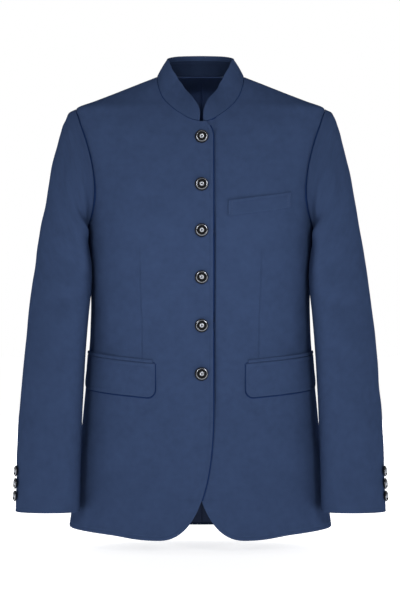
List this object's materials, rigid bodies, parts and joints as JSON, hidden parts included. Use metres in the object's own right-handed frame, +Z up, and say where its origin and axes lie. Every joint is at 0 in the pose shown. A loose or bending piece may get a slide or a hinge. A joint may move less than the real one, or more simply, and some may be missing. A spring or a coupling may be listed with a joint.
{
  "type": "prince coat",
  "caption": "Fitted closed-neck coat with a standing collar, lined and filled out as if worn, with a metal-buttoned front, flapped hip pockets, a breast welt and long sleeves.",
  "frame": {"origin": "middle of the line between the two neck points, where the shoulder seams meet the collar and the coat rests on its wearer", "axes": "+Z up, towards the collar; the front faces -Y; the wearer's right side is at -X"},
  "size_m": [0.6124, 0.2609, 0.7927],
  "materials": {
    "wool": "fine navy worsted wool, matt",
    "lining": "dark navy satin lining",
    "button": "gunmetal shank buttons with a raised rim and boss"
  },
  "bodies": {
    "root": {"front_right": "wool", "front_left": "wool", "back_right": "wool", "back_left": "wool", "back_lining_right": "lining", "back_lining_left": "lining", "top_sleeve_right": "wool", "top_sleeve_left": "wool", "under_sleeve_right": "wool", "under_sleeve_left": "wool", "collar_outer": "wool", "collar_inner": "wool", "chest_welt": "wool", "pocket_jet_right": "wool", "pocket_jet_left": "wool", "pocket_flap_right": "wool", "pocket_flap_left": "wool", "front_button_1": "button", "front_button_2": "button", "front_button_3": "button", "front_button_4": "button", "front_button_5": "button", "front_button_6": "button", "cuff_button_right_1": "button", "cuff_button_right_2": "button", "cuff_button_right_3": "button", "cuff_button_left_1": "button", "cuff_button_left_2": "button", "cuff_button_left_3": "button"}
  },
  "joints": []
}
